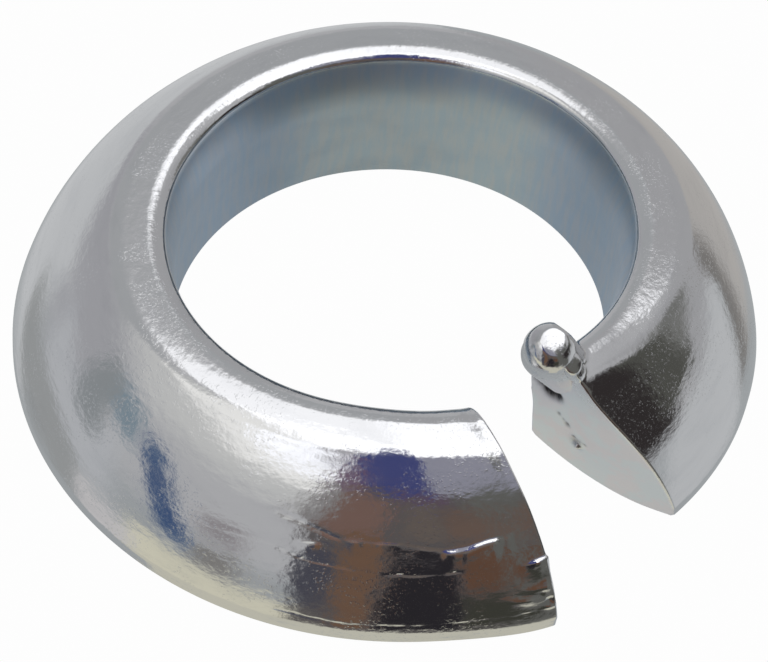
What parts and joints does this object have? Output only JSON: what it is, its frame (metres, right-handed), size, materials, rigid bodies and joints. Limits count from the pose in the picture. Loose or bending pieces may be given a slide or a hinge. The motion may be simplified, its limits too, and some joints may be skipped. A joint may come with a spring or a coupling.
{
  "type": "conical spring washer",
  "caption": "Split conical spring washer: a turn of wedge-section steel wire with a round bore, a bulged cone face and slanted cut ends.",
  "frame": {"origin": "on the bore axis, at the mean level of the foot of the coil", "axes": "+Z along the bore axis, from the foot to the crown; the gap in the coil faces -Y"},
  "size_m": [0.0354, 0.0362, 0.0121],
  "materials": {
    "zinc_steel": "bright zinc plate with a blue-white passivation, burnished and scored by the rolling and cutting"
  },
  "bodies": {
    "root": {"spring_washer": "zinc_steel"}
  },
  "joints": []
}
